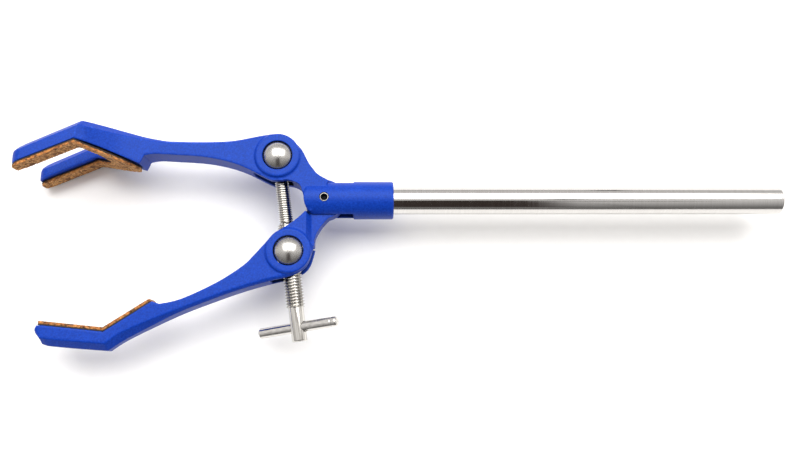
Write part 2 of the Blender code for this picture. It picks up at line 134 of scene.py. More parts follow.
# Detail that the CAD part leaves out
CASTING_VOXEL = 0.36
CORK_VOXEL = 0.24
FORK_CHAMFER = 2.8
THREAD_SIDES = 64
THREAD_DEPTH = 0.61343
THREAD_HEIGHTS = [1.0, 1.0, 0.52, 0.0, 0.0, 0.52]
THREAD_OVERLAP = 0.4
FINE_LEAD_IN = 0.75
COARSE_LEAD_IN = 0.95
SOCKET_CORNER = 0.8
RING_CORNER = 0.7
HEAD_CORNER = 0.55
BAR_CORNER = 1.15
HINGE_SCREW_CORNER = 0.3
ROD_INNER_CORNER = 0.7
ROD_CORNER = 0.75
NUT_MOUTH = 0.25
SOCKET_MOUTH = 0.35
SLIDING_GAP = 0.12
THROUGH = 12.0
HUB_BAR_END = 32

# A station is one cross-section of a jaw: a point on its back, the point across from it on the
# gripping side, half the width there, and the chamfer along the back.
Station = namedtuple("Station", "back grip half_width chamfer")

FIXED_ARM = [
    Station((2.0, 7.6), (-5.9, -6.2), 6.5, 0.5),
    Station((-2.7, 10.3), (-8.4, -0.8), 6.5, 0.6),
    Station((-5.0, 12.9), (-9.4, 2.8), 6.5, 0.7),
    Station((-7.0, 15.8), (-10.9, 5.9), 6.5, 0.8),
    Station((-11.2, 23.0), (-15.4, 7.6), 6.5, 0.8),
    Station((-19.6, 28.0), (-20.9, 7.3), 6.5, 0.9),
    Station((-26.2, 27.8), (-24.5, 8.3), 6.5, 1.0),
    Station((-38.7, 25.4), (-36.5, 14.2), 6.4, 1.1),
    Station((-50.0, 24.8), (-50.0, 17.6), 6.3, 1.1),
    Station((-65.8, 25.0), (-65.8, 18.8), 6.3, 1.2),
    Station((-72.0, 25.9), (-72.6, 19.1), 6.3, 1.4),
    Station((-76.8, 26.9), (-76.9, 18.4), 6.4, 1.7),
]
FIXED_PALM = [
    Station((-78.5, 27.3), (-78.5, 14.8), 6.7, 1.9),
    Station((-86.0, 28.9), (-86.0, 17.5), 9.6, 2.5),
    Station((-93.0, 30.0), (-93.0, 19.8), 14.0, 3.0),
    Station((-98.0, 30.4), (-98.5, 21.2), 17.9, 3.0),
    Station((-100.2, 30.5), (-102.3, 22.0), FORK_OUTER, 3.0),
]
FIXED_PRONGS = [
    Station((-121.8, 20.6), (-124.4, 12.5), FORK_OUTER, 3.0),
    Station((-125.2, 18.2), (-126.5, 11.6), FORK_OUTER, 2.2),
    Station((-127.4, 15.4), (-127.6, 12.2), FORK_OUTER, 0.6),
]
MOVING_ARM = [
    Station((2.6, -7.4), (-6.8, -4.4), 6.5, 0.5),
    Station((-1.6, -12.3), (-9.9, -7.6), 6.5, 0.5),
    Station((-4.0, -17.2), (-13.6, -10.7), 6.5, 0.6),
    Station((-4.4, -22.0), (-17.9, -13.5), 6.5, 0.8),
    Station((-7.2, -29.6), (-21.2, -15.9), 6.5, 0.9),
    Station((-13.5, -33.4), (-25.4, -20.5), 6.5, 1.0),
    Station((-22.2, -35.6), (-29.2, -24.7), 6.4, 1.1),
    Station((-30.9, -38.0), (-33.7, -29.2), 6.3, 1.1),
    Station((-41.5, -41.5), (-44.2, -36.1), 6.3, 1.1),
    Station((-56.5, -47.2), (-58.4, -42.8), 6.2, 1.3),
    Station((-64.0, -50.5), (-67.6, -44.9), 6.0, 1.6),
]
MOVING_PALM = [
    Station((-66.6, -51.8), (-70.5, -43.8), 5.9, 2.0),
    Station((-80.8, -59.1), (-84.2, -52.6), MOVING_HALF_WIDTH, 3.0),
    Station((-88.2, -63.9), (-89.8, -56.2), MOVING_HALF_WIDTH, 3.0),
]
MOVING_PRONG = [
    Station((-112.6, -61.8), (-114.4, -53.5), MOVING_HALF_WIDTH, 3.0),
    Station((-115.1, -60.0), (-117.1, -53.8), 5.4, 2.6),
    Station((-117.1, -57.4), (-118.0, -55.3), 4.6, 0.8),
]
FIXED_SLOT = [(-5.8, 14), (5.7, 14), (6.3, 0), (6.3, -18), (-11.6, -18), (-11.6, -8), (-5.8, 0)]
MOVING_SLOT = [(-12, 18), (5, 18), (5, 2.2), (20, 2.2), (20, -18), (-7.6, -18), (-7.6, 2)]
FIXED_PAD_LINE = [(-127.4, 11.25), (-102.3, 22.0), (-79.2, 14.9)]
FIXED_PAD_REAR = [(-79.2, 0.0), (-79.7, 2.2), (-81.4, 4.6), (-84.5, 7.3), (-88.5, 10.2)]
FIXED_PAD_SHOULDER = [(-93.0, 13.2), (-98.5, 16.7)]
MOVING_PAD_LINE = [(-117.6, -53.2), (-89.8, -56.2), (-70.9, -44.1)]


# ---------------------------------------------------------------- mesh tools


def working(name, shape):
    """A helper object of a bmesh drawn in millimetres; it is used up as the piece is made."""
    bmesh.ops.recalc_face_normals(shape, faces=shape.faces)
    mesh = bpy.data.meshes.new(name)
    shape.to_mesh(mesh)
    shape.free()
    made = bpy.data.objects.new(name, mesh)
    bpy.context.scene.collection.objects.link(made)
    return made


def settle(target):
    """Apply an object's modifiers to its mesh."""
    graph = bpy.context.evaluated_depsgraph_get()
    mesh = bpy.data.meshes.new_from_object(target.evaluated_get(graph))
    target.modifiers.clear()
    target.data = mesh


def combine(target, tool, operation):
    """Cut, join or intersect with a helper, which is then removed."""
    step = target.modifiers.new("step", "BOOLEAN")
    step.operation = operation
    step.object = tool
    settle(target)
    bpy.data.objects.remove(tool)


def soften(target, voxel, passes):
    """Remesh evenly and relax, which rounds every edge as a thick coat does."""
    grid = target.modifiers.new("grid", "REMESH")
    grid.mode = "VOXEL"
    grid.voxel_size = voxel
    relax = target.modifiers.new("relax", "SMOOTH")
    relax.factor = 0.5
    relax.iterations = passes
    settle(target)


def finished(piece, name, body, replaced, finish, sharp=None):
    """Move a piece to the row frame and hand it over with its finish."""
    piece.data.transform(TO_FRAME)
    piece.name = name
    piece.data.name = name
    piece.data.materials.clear()
    piece.data.materials.append(finish)
    piece.data.shade_smooth()
    if sharp is not None:
        piece.data.set_sharp_from_angle(angle=math.radians(sharp))
    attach(piece, body)
    if replaced:
        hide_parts(replaced)


def cylinder(radius, start, end, axis="Z", sides=96, centre=(0.0, 0.0)):
    shape = bmesh.new()
    bmesh.ops.create_cone(
        shape, cap_ends=True, segments=sides, radius1=radius, radius2=radius, depth=end - start
    )
    bmesh.ops.translate(shape, vec=(0.0, 0.0, (start + end) / 2), verts=shape.verts)
    if axis == "X":
        turn = Matrix.Rotation(math.radians(90), 3, "Y")
        bmesh.ops.rotate(shape, cent=(0, 0, 0), matrix=turn, verts=shape.verts)
    bmesh.ops.translate(shape, vec=(*centre, 0.0), verts=shape.verts)
    return shape


def skin(rings):
    """A solid between rings of points, each ring joined to the next and both ends closed."""
    shape = bmesh.new()
    loops = [[shape.verts.new(point) for point in ring] for ring in rings]
    for low, high in zip(loops, loops[1:]):
        for step in range(len(low)):
            after = (step + 1) % len(low)
            shape.faces.new((low[step], low[after], high[after], high[step]))
    shape.faces.new(loops[0])
    shape.faces.new(loops[-1])
    return shape


def turned(profile, axis="Z", sides=96):
    """Spin a profile of (radius, place along the axis) points into a solid of revolution."""
    angles = [math.tau * step / sides for step in range(sides)]
    tiny = 1e-4
    rings = [
        [(max(r, tiny) * math.cos(a), max(r, tiny) * math.sin(a), z) for a in angles]
        for r, z in profile
    ]
    shape = skin(rings)
    bmesh.ops.remove_doubles(shape, verts=shape.verts, dist=tiny * 3)
    if axis == "X":
        turn = Matrix.Rotation(math.radians(90), 3, "Y")
        bmesh.ops.rotate(shape, cent=(0, 0, 0), matrix=turn, verts=shape.verts)
    return shape


def prism(outline, half_depth, plane="XY", low=None):
    """Extrude a closed outline: XY outlines along Z, XZ outlines along Y."""
    bottom = -half_depth if low is None else low
    return skin(
        [
            [(a, b, depth) if plane == "XY" else (a, depth, b) for a, b in outline]
            for depth in (bottom, half_depth)
        ]
    )


def arc(centre, radius, start, end, steps):
    angles = [math.radians(start + (end - start) * step / steps) for step in range(steps + 1)]
    return [(centre[0] + radius * math.cos(a), centre[1] + radius * math.sin(a)) for a in angles]


def rounded_rim(radius, at, corner, steps=5):
    """Profile points round a bar's end corner, from its side to its end face."""
    points = []
    for step in range(steps + 1):
        angle = math.pi / 2 * step / steps
        points.append(
            (
                radius - corner + corner * math.cos(angle),
                at - corner * (1 - math.sin(angle)),
            )
        )
    return points


def between(points, x):
    """The height of a run of (x, y) points at x."""
    run = sorted(points)
    for (x0, y0), (x1, y1) in zip(run, run[1:]):
        if x <= x1:
            share = min(max((x - x0) / (x1 - x0), 0.0), 1.0)
            return y0 + (y1 - y0) * share
    return run[-1][1]


# ---------------------------------------------------------------- jaws


def eased(run, steps):
    """Fill in a run of stations with smooth curves through them."""
    rows = [[*s.back, *s.grip, s.half_width, s.chamfer] for s in run]
    filled = []
    for index in range(len(rows) - 1):
        before = rows[max(index - 1, 0)]
        after = rows[min(index + 2, len(rows) - 1)]
        for step in range(steps):
            t = step / steps
            row = []
            for a, b, c, d in zip(before, rows[index], rows[index + 1], after):
                curve = 2 * b + (c - a) * t + (2 * a - 5 * b + 4 * c - d) * t**2
                row.append((curve + (3 * b - 3 * c + d - a) * t**3) / 2)
            filled.append(row)
    return filled + [rows[-1]]


def jaw_loft(rows):
    """Skin a jaw over its stations: a bar with a flat gripping side and a chamfered back."""
    rings = []
    for back_x, back_y, grip_x, grip_y, half, chamfer in rows:
        back = Vector((back_x, back_y))
        grip = Vector((grip_x, grip_y))
        side = back + (grip - back).normalized() * chamfer
        section = [(grip, half), (side, half), (back, half - chamfer)]
        section += [(point, -depth) for point, depth in reversed(section)]
        rings.append([(*point, depth) for point, depth in section])
    shape = skin(rings)
    bmesh.ops.triangulate(shape, faces=shape.faces)
    return shape


def beside(centre, outline):
    return [(centre.x + x, centre.y + y) for x, y in outline]


def boss_ring(centre):
    """The raised ring round a nut, with a rounded shoulder on both sides."""
    shoulder = rounded_rim(RING_RADIUS, RING_TOP, RING_CORNER)
    profile = [(radius, -along) for radius, along in reversed(shoulder)] + shoulder
    shape = turned(profile)
    bmesh.ops.translate(shape, vec=(*centre, 0.0), verts=shape.verts)
    return shape


def bore(radius, start, end, mouth, axis="Z"):
    """A drilled hole's cutter, with a small countersink where it comes out at its end."""
    profile = [(radius, start), (radius, end - mouth), (radius + mouth, end)]
    return turned(profile + [(radius + mouth, end + 4.0)], axis)


def nut_bore(centre):
    """The cross hole for a barrel nut, countersunk on both faces of the boss."""
    radius = NUT_RADIUS + BORE_GAP
    half = [(radius, 0.0), (radius, RING_TOP - NUT_MOUTH), (radius + NUT_MOUTH, RING_TOP)]
    half.append((radius + NUT_MOUTH, RING_TOP + 4.0))
    shape = turned([(r, -z) for r, z in reversed(half[1:])] + half[1:])
    bmesh.ops.translate(shape, vec=(*centre, 0.0), verts=shape.verts)
    return shape


def cast_and_drill(jaw, cast_cuts, drilled):
    """Cut the cast hollows, round all the edges, and then drill the crisp holes."""
    for cut in cast_cuts:
        combine(jaw, working("cut", cut), "DIFFERENCE")
    soften(jaw, CASTING_VOXEL, 2)
    for cut in drilled:
        combine(jaw, working("cut", cut), "DIFFERENCE")


def fork_outline():
    tip_radius = (FORK_OUTER - FORK_INNER) / 2
    middle = FORK_INNER + tip_radius
    tip_centre = PRONG_TIP_X + tip_radius
    upper = [(6.0, 21.0), (tip_centre, 21.0)]
    upper += arc((tip_centre, middle), tip_radius + 0.05, 90, 270, 24)
    root = arc((FORK_ROOT_X - FORK_INNER, 0.0), FORK_INNER, 90, -90, 32)
    lower = [(x, -z) for x, z in reversed(upper)]
    return upper + root + lower


def fork_groove():
    """The cutter that chamfers the prongs' inner edges along the back, all round the fork."""
    back_line = [s.back for s in FIXED_PALM + FIXED_PRONGS]
    centre_x = FORK_ROOT_X - FORK_INNER
    points = [((-134.0, FORK_INNER), (0.0, 1.0)), ((-122.0, FORK_INNER), (0.0, 1.0))]
    points += [((-112.0, FORK_INNER), (0.0, 1.0))]
    for x, z in arc((centre_x, 0.0), FORK_INNER, 90, -90, 32):
        points.append(((x, z), ((x - centre_x) / FORK_INNER, z / FORK_INNER)))
    points += [((x, -z), (nx, -nz)) for (x, z), (nx, nz) in reversed(points[:3])]
    rings = [[], [], []]
    for (x, z), (nx, nz) in points:
        height = between(back_line, x)
        rings[0].append((x, height - 14.0, z))
        rings[1].append((x, height - FORK_CHAMFER, z))
        outer_x, outer_z = x + nx * (FORK_CHAMFER + 1.0), z + nz * (FORK_CHAMFER + 1.0)
        rings[2].append((outer_x, height + 1.0, outer_z))
    shape = skin(rings)
    bmesh.ops.triangulate(shape, faces=shape.faces)
    return shape


def build_fixed_jaw(finish):
    rows = eased(FIXED_ARM, 4) + eased(FIXED_PALM, 4)[:-1]
    rows += eased([FIXED_PALM[-1]] + FIXED_PRONGS, 2)
    jaw = working("jaw", jaw_loft(rows))
    combine(jaw, working("plan", prism(fork_outline(), 40.0, "XZ")), "INTERSECT")
    combine(jaw, working("groove", fork_groove()), "DIFFERENCE")
    combine(jaw, working("ring", boss_ring(UPPER_NUT)), "UNION")
    hub = working("hub", cylinder(HUB_RADIUS, -THROUGH, THROUGH))
    bar_plan = [(0, -THROUGH), (HUB_BAR_END, -THROUGH), (HUB_BAR_END, THROUGH), (0, THROUGH)]
    bar = working("bar", prism(bar_plan, THROUGH))
    combine(hub, bar, "UNION")
    profile = [(SOCKET_RADIUS, -THROUGH)] + rounded_rim(SOCKET_RADIUS, SOCKET_END, SOCKET_CORNER)
    socket = working("socket", turned(profile, "X"))
    combine(socket, hub, "INTERSECT")
    combine(jaw, socket, "UNION")
    cast_cuts = [
        cylinder(KNUCKLE_RADIUS + KNUCKLE_CLEARANCE, -CLEVIS_HALF_GAP, CLEVIS_HALF_GAP),
        prism(CLEVIS_SLOT, CLEVIS_HALF_GAP),
        prism(beside(UPPER_NUT, FIXED_SLOT), FIXED_SLOT_HALF),
    ]
    drilled = [
        bore(ROD_RADIUS + BORE_GAP, CLEVIS_END - 1.0, SOCKET_END, SOCKET_MOUTH, "X"),
        cylinder(HINGE_SCREW_RADIUS + SLIDING_GAP, -THROUGH, THROUGH),
        nut_bore(UPPER_NUT),
    ]
    cast_and_drill(jaw, cast_cuts, drilled)
    finished(jaw, "fixed_jaw_casting", "frame", "fixed_jaw", finish, 30)


def build_moving_jaw(finish):
    rows = eased(MOVING_ARM, 4) + eased(MOVING_PALM, 4)[:-1]
    rows += eased([MOVING_PALM[-1]] + MOVING_PRONG, 2)
    jaw = working("jaw", jaw_loft(rows))
    for side in (1, -1):
        low, high = sorted((side * LINK_ROOM_HALF, side * TONGUE_HALF_WIDTH))
        room = cylinder(HUB_RADIUS + HUB_CLEARANCE, low, high)
        combine(jaw, working("room", room), "DIFFERENCE")
        ramp = [(RAMP_PAST_X, TONGUE_HALF_WIDTH), (RAMP_HIGH_X, TONGUE_HALF_WIDTH)]
        ramp += [(RAMP_LOW_X, RAMP_LOW_HALF), (RAMP_LOW_X, LINK_ROOM_HALF)]
        ramp.append((RAMP_PAST_X, LINK_ROOM_HALF))
        cut = prism([(x, side * z) for x, z in ramp], RAMP_TOP_Y, "XZ", low=RAMP_BOTTOM_Y)
        combine(jaw, working("ramp", cut), "DIFFERENCE")
    combine(jaw, working("ring", boss_ring(LOWER_NUT)), "UNION")
    knuckle = cylinder(KNUCKLE_RADIUS, -TONGUE_HALF_WIDTH, TONGUE_HALF_WIDTH)
    combine(jaw, working("knuckle", knuckle), "UNION")
    cast_cuts = [prism(beside(LOWER_NUT, MOVING_SLOT), MOVING_SLOT_HALF)]
    drilled = [cylinder(HINGE_SCREW_RADIUS + BORE_GAP, -THROUGH, THROUGH), nut_bore(LOWER_NUT)]
    cast_and_drill(jaw, cast_cuts, drilled)
    finished(jaw, "moving_jaw_casting", "moving_jaw", "moving_jaw", finish, 30)


# ---------------------------------------------------------------- cork


def pad_band(line, grip_side, near_gap, far_gap):
    """The side outline of a layer that follows the jaw's gripping line."""
    points = [Vector(point) for point in line]
    near, far = [], []
    for index, point in enumerate(points):
        along = [b - a for a, b in zip(points, points[1:])]
        touching = along[max(index - 1, 0) : index + 1]
        normal = sum((Vector((-d.y, d.x)).normalized() for d in touching), Vector((0.0, 0.0)))
        normal.normalize()
        stretch = 1.0 / normal.dot(Vector((-touching[0].y, touching[0].x)).normalized())
        near.append(tuple(point + normal * grip_side * near_gap * stretch))
        far.append(tuple(point + normal * grip_side * far_gap * stretch))
    return near + far[::-1]


def fixed_pad_plan(inset):
    outer = FORK_OUTER - inset
    tip_radius = (outer - PAD_FORK_INNER) / 2
    tip_centre = PRONG_TIP_X + PAD_TIP_SETBACK + tip_radius
    root_centre = PAD_FORK_ROOT_X - PAD_FORK_INNER
    half = FIXED_PAD_REAR + FIXED_PAD_SHOULDER + [(-102.0, outer)]
    half += arc((tip_centre, PAD_FORK_INNER + tip_radius), tip_radius, 90, 270, 16)
    half += arc((root_centre, 0.0), PAD_FORK_INNER, 90, 0, 10)
    return half + [(x, -z) for x, z in reversed(half[1:-1])]


def moving_pad_plan(inset):
    """The plan outline of the single prong's pad: a strip with rounded corners."""
    corner = MOVING_PAD_CORNER
    middle = MOVING_HALF_WIDTH - inset - corner
    tip = arc((MOVING_PAD_TIP_X + corner, middle), corner, 180, 90, 6)
    rear = arc((MOVING_PAD_REAR_X - corner, middle), corner, 90, 0, 6)
    half = tip + rear
    return half + [(x, -z) for x, z in reversed(half)]


def crumble(piece, seed):
    """Roughen a cork sheet: pits where granules broke out, and an uneven cut edge."""
    mesh = piece.data
    shift = Vector((seed, seed * 0.7, -seed))
    moves = []
    for vertex in mesh.vertices:
        place = vertex.co + shift
        grain = noise.noise(place * 1.9) * 0.09 + noise.noise(place * 4.3) * 0.05
        distances, _ = noise.voronoi(place * 0.85)
        crack = max(0.0, 0.16 - (distances[1] - distances[0])) * 0.9
        pit = max(0.0, noise.noise(place * 0.62) - 0.36) * 0.9
        moves.append(vertex.normal * (grain - crack - pit - 0.05))
    for vertex, move in zip(mesh.vertices, moves):
        vertex.co += move


def build_pads(cork, glue):
    for name, body, line, side, plan, seed in (
        ("fixed_jaw_cork", "frame", FIXED_PAD_LINE, -1, fixed_pad_plan, 11.0),
        ("moving_jaw_cork", "moving_jaw", MOVING_PAD_LINE, 1, moving_pad_plan, 47.0),
    ):
        sheet = working("sheet", prism(pad_band(line, side, GLUE_FAR, PAD_FAR), 22.0))
        combine(sheet, working("plan", prism(plan(PAD_INSET), 80.0, "XZ")), "INTERSECT")
        soften(sheet, CORK_VOXEL, 1)
        crumble(sheet, seed)
        finished(sheet, name.replace("cork", "cork_sheet"), body, name, cork)
        film = working("film", prism(pad_band(line, side, GLUE_NEAR, GLUE_FAR + 0.1), 22.0))
        combine(film, working("plan", prism(plan(PAD_INSET + 0.1), 80.0, "XZ")), "INTERSECT")
        soften(film, CORK_VOXEL, 1)
        finished(film, name.replace("cork", "glue_film"), body, None, glue)


# ---------------------------------------------------------------- turned steel


def thread(start, end, radius, pitch, hand, chamfer):
    """A threaded bar along X: a V thread that wraps as one helical strip, chamfered at both ends."""
    depth = THREAD_DEPTH * pitch
    turns = math.ceil((end - start) / pitch) + 2
    rows = turns * len(THREAD_HEIGHTS)
    shape = bmesh.new()
    grid = []
    for row in range(rows + 1):
        line = []
        for side in range(THREAD_SIDES):
            angle = hand * math.tau * side / THREAD_SIDES
            along = start + pitch * (row / len(THREAD_HEIGHTS) + side / THREAD_SIDES - 1.0)
            along = min(max(along, start), end)
            reach = radius - depth * (1.0 - THREAD_HEIGHTS[row % len(THREAD_HEIGHTS)])
            cone = radius - chamfer + min(along - start, end - along)
            reach = min(reach, cone)
            if along in (start, end):
                reach = radius - chamfer
            place = (along, reach * math.cos(angle), reach * math.sin(angle))
            line.append(shape.verts.new(place))
        grid.append(line)
    for row in range(rows):
        for side in range(THREAD_SIDES - 1):
            shape.faces.new(
                (grid[row][side], grid[row][side + 1], grid[row + 1][side + 1], grid[row + 1][side])
            )
    last = THREAD_SIDES - 1
    turn = len(THREAD_HEIGHTS)
    for row in range(rows - turn):
        shape.faces.new(
            (
                grid[row][last],
                grid[row + turn][0],
                grid[row + turn + 1][0],
                grid[row + 1][last],
            )
        )
    bmesh.ops.remove_doubles(shape, verts=shape.verts, dist=1e-4)
    open_edges = [edge for edge in shape.edges if edge.is_boundary]
    bmesh.ops.holes_fill(shape, edges=open_edges, sides=0)
    bmesh.ops.dissolve_degenerate(shape, dist=1e-5, edges=shape.edges)
    return shape


def build_nut(name, centre, body, hole_radius, finish):
    """A barrel nut: a cross pin with a domed end each side and the screw's hole through it."""
    sphere = (NUT_RADIUS**2 + DOME_HEIGHT**2) / (2 * DOME_HEIGHT)
    edge = math.asin((NUT_RADIUS - 0.12) / sphere)
    dome = []
    steps = 28
    for step in range(steps + 1):
        angle = edge * step / steps
        height = NUT_RIM + DOME_HEIGHT - sphere * (1 - math.cos(angle))
        dome.append((sphere * math.sin(angle), height))
    dome.append((NUT_RADIUS, dome[-1][1] - 0.14))
    nut = working("nut", turned([(r, -h) for r, h in dome] + dome[::-1], sides=128))
    nut.data.transform(Matrix.Translation((*centre, 0.0)) @ Matrix.Rotation(SCREW_ANGLE, 4, "Z"))
    hole = working("hole", cylinder(hole_radius, -10.0, 10.0, "X", 64))
    hole.data.transform(Matrix.Translation((*centre, 0.0)) @ Matrix.Rotation(SCREW_ANGLE, 4, "Z"))
    combine(nut, hole, "DIFFERENCE")
    finished(nut, name + "_pin", body, name, finish, sharp=30)


def build_screw(finish, bar_finish):
    """The screw lies along its own X axis, from its tip past the upper nut to its plain head."""
    thread_end = NUT_SPACING + THREAD_PAST_NUT
    head_end = NUT_SPACING + HEAD_PAST_NUT
    lie = Matrix.Translation((*UPPER_NUT, 0.0)) @ Matrix.Rotation(SCREW_ANGLE, 4, "Z")
    fine_end = SHOULDER + THREAD_OVERLAP
    fine = thread(SCREW_TIP, fine_end, FINE_THREAD_RADIUS, FINE_PITCH, -1, FINE_LEAD_IN)
    screw = working("screw", fine)
    coarse = thread(
        SHOULDER, thread_end, COARSE_THREAD_RADIUS, COARSE_PITCH, 1, COARSE_LEAD_IN
    )
    combine(screw, working("coarse", coarse), "UNION")
    head = [(HEAD_RADIUS - 0.3, thread_end - 1.2), (HEAD_RADIUS, thread_end - 0.9)]
    head += rounded_rim(HEAD_RADIUS, head_end, HEAD_CORNER)
    head.append((0.9, head_end))
    head.append((0.0, head_end - 0.35))
    combine(screw, working("head", turned(head, "X", 72)), "UNION")
    cross = Matrix.Translation((NUT_SPACING + BAR_PAST_NUT, 0.0, 0.0))
    cross = cross @ Matrix.Rotation(BAR_TURN + math.pi / 2, 4, "X")
    hole = working("hole", cylinder(BAR_RADIUS + SLIDING_GAP, -10.0, 10.0, sides=64))
    hole.data.transform(cross)
    combine(screw, hole, "DIFFERENCE")
    screw.data.transform(lie)
    finished(screw, "clamp_screw_threaded", "screw", "clamp_screw", finish, 28)

    half = BAR_LENGTH / 2
    near = rounded_rim(BAR_RADIUS, half, BAR_CORNER, 7)
    near.append((0.6, half))
    near.append((0.0, half - 0.4))
    far = [(BAR_RADIUS - 0.75, half), (BAR_RADIUS - 0.15, half - 0.55), (BAR_RADIUS, half - 0.8)]
    groove = [(BAR_RADIUS, half - 2.5), (BAR_RADIUS - 0.14, half - 2.7)]
    groove += [(BAR_RADIUS - 0.14, half - 2.85), (BAR_RADIUS, half - 3.05)]
    profile = [(r, -z) for r, z in reversed(near)] + [(r, -z) for r, z in groove]
    profile += far[::-1] + [(0.0, half)]
    bar = working("bar", turned(profile, sides=72))
    bar.data.transform(lie @ cross)
    finished(bar, "tommy_bar_pin", "screw", "tommy_bar", bar_finish, 28)


def build_hinge_screw(finish):
    top = rounded_rim(HINGE_SCREW_RADIUS, HINGE_SCREW_HALF, HINGE_SCREW_CORNER)
    profile = [(r, -z) for r, z in reversed(top)] + top
    screw = working("screw", turned(profile, sides=64))
    corner = HEX_ACROSS / math.sqrt(3)
    socket = working(
        "socket", cylinder(corner, HINGE_SCREW_HALF - HEX_DEPTH, HINGE_SCREW_HALF + 2.0, sides=6)
    )
    combine(screw, socket, "DIFFERENCE")
    mouth = turned(
        [(corner - 0.25, HINGE_SCREW_HALF - 0.25), (corner + 0.75, HINGE_SCREW_HALF + 0.75)]
    )
    combine(screw, working("mouth", mouth), "DIFFERENCE")
    finished(screw, "hinge_set_screw", "frame", "hinge_screw", finish, 30)


def build_rod(finish):
    start = rounded_rim(ROD_RADIUS, -ROD_START, ROD_INNER_CORNER)
    end = rounded_rim(ROD_RADIUS, ROD_END, ROD_CORNER, 7)
    profile = [(r, -z) for r, z in reversed(start)] + end
    rod = working("rod", turned(profile, "X", 160))
    finished(rod, "rod_bar", "frame", "rod", finish, 40)


# ---------------------------------------------------------------- finishes


class Nodes:
    """Shorthand for building a material's nodes."""

    def __init__(self, name):
        self.material = bpy.data.materials.new(name)
        self.material.use_nodes = True
        self.tree = self.material.node_tree
        self.shader = self.tree.nodes["Principled BSDF"]
        self.place = self.tree.nodes.new("ShaderNodeTexCoord").outputs["Object"]

    def add(self, kind, inputs=None, **settings):
        node = self.tree.nodes.new("ShaderNode" + kind)
        for name, value in settings.items():
            setattr(node, name, value)
        for name, value in (inputs or {}).items():
            self.feed(node.inputs[name], value)
        return node

    def feed(self, socket, value):
        if isinstance(value, bpy.types.NodeSocket):
            self.tree.links.new(value, socket)
        else:
            socket.default_value = value

    def noise(self, scale, detail=2.0, roughness=0.5, place=None):
        inputs = {"Vector": place or self.place, "Scale": scale, "Detail": detail}
        inputs["Roughness"] = roughness
        return self.add("TexNoise", inputs)

    def ramp(self, value, stops, kind="LINEAR"):
        node = self.add("ValToRGB", {"Fac": value})
        node.color_ramp.interpolation = kind
        points = node.color_ramp.elements
        while len(points) < len(stops):
            points.new(0.5)
        for point, (at, colour) in zip(points, stops):
            point.position = at
            point.color = (*colour, 1.0) if isinstance(colour, tuple) else (colour,) * 3 + (1.0,)
        return node.outputs["Color"]

    def mix(self, share, a, b, blend="MIX"):
        node = self.add("Mix", data_type="RGBA", blend_type=blend)
        self.feed(node.inputs["Factor"], share)
        self.feed(node.inputs[6], a if isinstance(a, bpy.types.NodeSocket) else (*a, 1.0))
        self.feed(node.inputs[7], b if isinstance(b, bpy.types.NodeSocket) else (*b, 1.0))
        return node.outputs[2]

    def map(self, value, low, high, to_low, to_high):
        inputs = {"Value": value, "From Min": low, "From Max": high}
        inputs.update({"To Min": to_low, "To Max": to_high})
        return self.add("MapRange", inputs).outputs["Result"]

    def math(self, operation, a, b=0.0):
        node = self.add("Math", operation=operation)
        self.feed(node.inputs[0], a)
        self.feed(node.inputs[1], b)
        return node.outputs["Value"]

    def bump(self, height, distance, strength=1.0, normal=None):
        inputs = {"Height": height, "Distance": distance, "Strength": strength}
        if normal:
            inputs["Normal"] = normal
        return self.add("Bump", inputs).outputs["Normal"]

    def stretched(self, scale, turn=0.0):
        """Coordinates turned about Z, so that X lies along the given angle, and then scaled."""
        turned_place = self.add("Mapping", {"Vector": self.place, "Rotation": (0.0, 0.0, -turn)})
        inputs = {"Vector": turned_place.outputs["Vector"], "Scale": scale}
        return self.add("Mapping", inputs).outputs["Vector"]

    def surface(self, **values):
        for name, value in values.items():
            self.feed(self.shader.inputs[name.replace("_", " ")], value)
        return self.material


def blue_powder_coat():
    """Satin blue powder coat: fine orange peel, a grainy tone, a painted highlight of lighter blue along
    the sharp edges, and painted shade in the recesses.
    """
    n = Nodes("blue_powder_coat")
    grain = n.noise(1500.0, 3.0, 0.6).outputs["Fac"]
    cloud = n.noise(140.0, 3.0).outputs["Fac"]
    tone = n.ramp(grain, [(0.30, (0.001, 0.023, 0.24)), (0.70, (0.006, 0.052, 0.45))])
    tone = n.mix(n.map(cloud, 0.3, 0.7, 0.0, 0.35), tone, (0.001, 0.031, 0.31))
    # Painted highlight: a lighter blue laid along the sharp outer edges, where pointiness is high.
    edge = n.add("NewGeometry").outputs["Pointiness"]
    bright_edge = n.map(edge, 0.52, 0.60, 0.0, 0.30)
    tone = n.mix(bright_edge, tone, (0.02, 0.10, 0.66))
    fleck = n.add("TexVoronoi", {"Vector": n.place, "Scale": 95.0, "Randomness": 1.0})
    mark = n.map(fleck.outputs["Distance"], 0.035, 0.055, 0.7, 0.0)
    tone = n.mix(mark, tone, (0.001, 0.012, 0.10))
    # Painted shade: the colour goes near black in slots, bores and the gaps between parts, where ambient
    # occlusion finds the surface hemmed in.
    painted_shade_ao = n.add("AmbientOcclusion", {"Distance": 0.010}).outputs["AO"]
    tone = n.mix(n.map(painted_shade_ao, 0.30, 0.60, 0.98, 0.0), tone, (0.0003, 0.001, 0.006))
    rough = n.map(grain, 0.3, 0.7, 0.36, 0.48)
    peel = n.noise(900.0, 2.0, 0.45).outputs["Fac"]
    normal = n.bump(grain, 0.00003, 0.55)
    normal = n.bump(peel, 0.00006, 0.55, normal)
    tint = (0.55, 0.75, 1.0, 1.0)
    return n.surface(
        Base_Color=tone, Roughness=rough, Normal=normal, IOR=1.33, Specular_Tint=tint
    )


